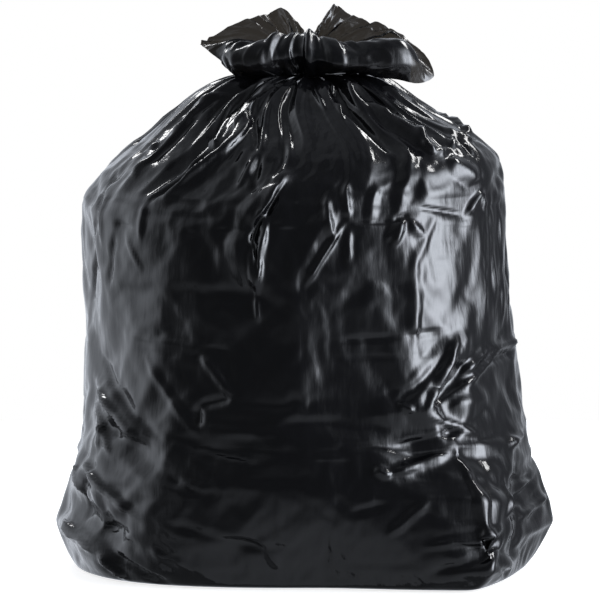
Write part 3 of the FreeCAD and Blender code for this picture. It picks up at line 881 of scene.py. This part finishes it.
def film_relief(tree):
    """Bump of film: fine crumpling in both directions and drawn lines along the tube."""
    place = add_node(tree, "ShaderNodeTexCoord").outputs["Object"]
    stretched = add_node(
        tree, "ShaderNodeMapping", {"Vector": place, "Scale": (1.0, 1.0, LINE_STRETCH)}
    )
    lines = add_node(
        tree,
        "ShaderNodeTexNoise",
        {"Vector": stretched.outputs[0], "Scale": per_mm(LINE_WIDTH), "Detail": 3.0},
    )
    crumple = add_node(
        tree,
        "ShaderNodeTexVoronoi",
        {"Vector": place, "Scale": per_mm(CRUMPLE_WIDTH), "Randomness": 1.0},
        feature="DISTANCE_TO_EDGE",
    )
    first = add_node(
        tree,
        "ShaderNodeBump",
        {"Strength": 0.4, "Distance": 0.0012, "Height": lines.outputs[0]},
    )
    return add_node(
        tree,
        "ShaderNodeBump",
        {
            "Strength": 0.12,
            "Distance": 0.002,
            "Height": crumple.outputs[0],
            "Normal": first.outputs[0],
        },
    ).outputs[0]


def film_surface(tree, roughness):
    """The black surface of film with its relief."""
    return add_node(
        tree,
        "ShaderNodeBsdfPrincipled",
        {
            "Base Color": linear(CARBON_BLACK),
            "Roughness": roughness,
            "IOR": FILM_IOR,
            "Normal": film_relief(tree),
        },
    )


film, film_out = new_material("blown_ldpe_film")
film_shader = film_surface(film.node_tree, roughness=0.12)
film.node_tree.links.new(film_shader.outputs[0], film_out.inputs[0])
body.data.materials.append(film)

# %% [markdown]
# Where a single layer of the same film stands against the light, two hundredths of it come
# through, brownish because carbon black lets red through more easily than blue. Where the film
# lies double, next to nothing does.

# %% Single film against the light
SINGLE_SHARE, DOUBLE_SHARE = 0.024, 0.001
single, single_out = new_material("single_ldpe_film")
single_shader = film_surface(single.node_tree, roughness=0.17)
clear = add_node(single.node_tree, "ShaderNodeBsdfTransparent", {"Color": linear("#fff0dc")})
doubled_film = add_node(single.node_tree, "ShaderNodeAttribute", attribute_name="film_doubled")
share = add_node(
    single.node_tree,
    "ShaderNodeMapRange",
    {"Value": doubled_film.outputs["Fac"], "To Min": SINGLE_SHARE, "To Max": DOUBLE_SHARE},
)
through = add_node(
    single.node_tree,
    "ShaderNodeMixShader",
    {0: share.outputs[0], 1: single_shader.outputs[0], 2: clear.outputs[0]},
)
single.node_tree.links.new(through.outputs[0], single_out.inputs[0])
mouth.data.materials.append(single)

# %% [markdown]
# The band round the neck is dull black rubber.

# %% Rubber band
rubber, rubber_out = new_material("black_rubber")
rubber_grain = add_node(
    rubber.node_tree,
    "ShaderNodeTexNoise",
    {
        "Vector": add_node(rubber.node_tree, "ShaderNodeTexCoord").outputs["Object"],
        "Scale": per_mm(0.8),
    },
)
rubber_bump = add_node(
    rubber.node_tree,
    "ShaderNodeBump",
    {"Strength": 0.4, "Distance": 0.0003, "Height": rubber_grain.outputs[0]},
)
rubber_shader = add_node(
    rubber.node_tree,
    "ShaderNodeBsdfPrincipled",
    {
        "Base Color": linear("#171717"),
        "Roughness": 0.45,
        "IOR": 1.52,
        "Normal": rubber_bump.outputs[0],
    },
)
rubber.node_tree.links.new(rubber_shader.outputs[0], rubber_out.inputs[0])
band = frame["nodes"]["neck_tie"]
band.data.materials.clear()
band.data.materials.append(rubber)

# %% [markdown]
# ## Studio
#
# The sack stands on a white floor. The camera sees a surface that glows a little under its own
# shade, so the sack's shadow stays. The film does not mirror the floor, because the round edge
# would show in it; it mirrors the room instead. All other rays meet a grey floor with a painted
# pool of light: its colour is lighter next to the sack and fades outwards into painted shade,
# which lights the foot of the sack no more than a studio floor would.

# %% Floor
WHITE, PALE, FLOOR_GLOW = (1, 1, 1, 1), (0.8, 0.8, 0.8, 1), 0.8
FLOOR_RADIUS, FLOOR_GAP = 1.3, 0.0005
# painted pool of light: the floor colour for other rays goes from light near the sack to painted
# shade further out
PAINTED_POOL_START, PAINTED_POOL_END, PAINTED_POOL_BRIGHT, PAINTED_POOL_DARK = 0.3, 1.2, 0.55, 0.02
bpy.ops.mesh.primitive_circle_add(
    vertices=96, radius=FLOOR_RADIUS, fill_type="NGON", location=(0, 0, -FLOOR_GAP)
)
floor = bpy.context.object
floor.name = "floor"
paper, paper_out = new_material("pale_paper")
place = add_node(paper.node_tree, "ShaderNodeTexCoord").outputs["Object"]
distance = add_node(paper.node_tree, "ShaderNodeVectorMath", {0: place}, operation="LENGTH")
# painted pool of light and shade: floor colour lighter near the sack and darker outwards, in place
# of the light's fall-off
painted_light_pool = add_node(
    paper.node_tree,
    "ShaderNodeMapRange",
    {
        "Value": distance.outputs["Value"],
        "From Min": PAINTED_POOL_START,
        "From Max": PAINTED_POOL_END,
        "To Min": PAINTED_POOL_BRIGHT,
        "To Max": PAINTED_POOL_DARK,
    },
)
matt_with_painted_pool = add_node(paper.node_tree, "ShaderNodeBsdfDiffuse", {"Color": painted_light_pool.outputs[0]})
pale = add_node(paper.node_tree, "ShaderNodeBsdfDiffuse", {"Color": PALE})
glowing = add_node(paper.node_tree, "ShaderNodeEmission", {"Color": WHITE, "Strength": FLOOR_GLOW})
shaded = add_node(
    paper.node_tree, "ShaderNodeAddShader", {0: pale.outputs[0], 1: glowing.outputs[0]}
)
ray = add_node(paper.node_tree, "ShaderNodeLightPath")
seen = add_node(
    paper.node_tree,
    "ShaderNodeMixShader",
    {0: ray.outputs["Is Camera Ray"], 1: matt_with_painted_pool.outputs[0], 2: shaded.outputs[0]},
)
nothing = add_node(paper.node_tree, "ShaderNodeBsdfTransparent")
mirrored = add_node(
    paper.node_tree,
    "ShaderNodeMixShader",
    {0: ray.outputs["Is Glossy Ray"], 1: seen.outputs[0], 2: nothing.outputs[0]},
)
paper.node_tree.links.new(mirrored.outputs[0], paper_out.inputs[0])
floor.data.materials.append(paper)

# %% [markdown]
# A black glossy thing is lit by what it mirrors, so lamps matter more by their place and shape
# than by their power. The two softboxes hang high behind the shoulders, where the pleats mirror
# them as narrow glints.

# %% Lamps
SOFTBOXES = (
    # name, place, target, width, height, radiance
    ("left_top", (-0.62, 0.95, 1.40), (-0.1, -0.1, 0.47), 0.5, 0.25, 12),
    ("right_top", (0.97, 0.57, 1.48), (0.1, -0.1, 0.46), 1.1, 0.2, 12),
)


def softbox(name, place, target, width, height, radiance):
    """A rectangular lamp that faces a target and mirrors as a panel of that radiance."""
    lamp = bpy.data.lights.new(name, "AREA")
    lamp.shape = "RECTANGLE"
    lamp.size, lamp.size_y = width, height
    lamp.energy = radiance * math.pi * width * height
    holder = bpy.data.objects.new(name, lamp)
    bpy.context.scene.collection.objects.link(holder)
    holder.location = place
    direction = np.array(target) - np.array(place)
    yaw = math.atan2(direction[1], direction[0]) - math.pi / 2
    pitch = math.atan2(direction[2], math.hypot(direction[0], direction[1])) + math.pi / 2
    holder.rotation_euler = (pitch, 0, yaw)


for box in SOFTBOXES:
    softbox(*box)

# %% [markdown]
# The rest of the room is only seen in the film. Behind the sack stands the white backdrop, at the
# left a large window with a thin curtain, and at the right a bright lamp that also lights the wall
# and the floor next to it. All edges are soft, and the side where the camera stands is dark. The
# camera itself, and whatever it sees through the film, meets plain white.

# %% Room
GLOWS = (
    # azimuth in degrees; height, half width and half height as sines of angles; strength
    (168, 0.15, 0.5, 0.6, 1.2),  # window
    (-13, 0.1, 0.33, 0.42, 13.0),  # lamp
    (-38, -0.1, 0.32, 0.35, 0.7),  # wall next to the lamp
    (-60, -0.75, 0.9, 0.5, 0.45),  # floor at the front right
    (112, 0.0, 0.66, 0.62, 1.0),  # backdrop
)
DIM_ROOM, ROOM_COLOUR = 0.10, (0.86, 0.91, 1.0, 1)
EULER = 2.718
EDGE_POWER = 2.5  # the higher, the flatter the middle of a glow and the shorter its edge
world = bpy.data.worlds.new("studio")
bpy.context.scene.world = world
world.use_nodes = True
tree = world.node_tree
tree.nodes.clear()
direction = add_node(tree, "ShaderNodeTexCoord").outputs["Generated"]


def maths(operation, first, second=0.0):
    """The result of one operation on sockets or numbers."""
    return add_node(tree, "ShaderNodeMath", {0: first, 1: second}, operation=operation).outputs[0]


def along(axis):
    """How far the direction that is looked in points along an axis."""
    node = add_node(tree, "ShaderNodeVectorMath", {0: direction, 1: axis}, operation="DOT_PRODUCT")
    return node.outputs["Value"]


def glow(azimuth, height, half_width, half_height, strength):
    """A patch of light in the room whose strength falls off like a flat-topped bell."""
    cosine, sine = math.cos(math.radians(azimuth)), math.sin(math.radians(azimuth))
    across = maths("MULTIPLY", along((-sine, cosine, 0)), 1 / half_width)
    up = maths("MULTIPLY", maths("SUBTRACT", along((0, 0, 1)), height), 1 / half_height)
    spread = maths(
        "ADD",
        maths("POWER", maths("ABSOLUTE", across), EDGE_POWER),
        maths("POWER", maths("ABSOLUTE", up), EDGE_POWER),
    )
    bell = maths("POWER", EULER, maths("MULTIPLY", spread, -1.0))
    ahead = maths("GREATER_THAN", along((cosine, sine, 0)), 0.0)
    return maths("MULTIPLY", maths("MULTIPLY", bell, ahead), strength)


level = DIM_ROOM
for patch in GLOWS:
    level = maths("ADD", level, glow(*patch))
ray = add_node(tree, "ShaderNodeLightPath")
seen = maths("MAXIMUM", ray.outputs["Is Camera Ray"], ray.outputs["Is Transmission Ray"])
room = add_node(tree, "ShaderNodeBackground", {"Color": ROOM_COLOUR, "Strength": level})
white = add_node(tree, "ShaderNodeBackground", {"Color": WHITE, "Strength": 1.0})
mixed = add_node(tree, "ShaderNodeMixShader", {0: seen, 1: room.outputs[0], 2: white.outputs[0]})
add_node(tree, "ShaderNodeOutputWorld", {"Surface": mixed.outputs[0]})

# %% [markdown]
# The camera looks 6 degrees down at the front from eight metres, through a long lens. The picture
# is as wide as 600 pixels of the photograph.

# %% Camera
DISTANCE, FRAME_WIDTH, SENSOR = 8.0, 0.630, 36
AIM_RIGHT, AIM_HEIGHT = -0.0037, 0.280
camera_data = bpy.data.cameras.new("camera")
camera_data.sensor_width = SENSOR
camera_data.lens = SENSOR * DISTANCE / FRAME_WIDTH
camera = bpy.data.objects.new("camera", camera_data)
bpy.context.scene.collection.objects.link(camera)
camera.location = (
    AIM_RIGHT,
    -DISTANCE * math.cos(ELEVATION),
    AIM_HEIGHT + DISTANCE * math.sin(ELEVATION),
)
camera.rotation_euler = (math.pi / 2 - ELEVATION, 0, 0)
bpy.context.scene.camera = camera
bpy.context.scene.view_settings.view_transform = "Standard"
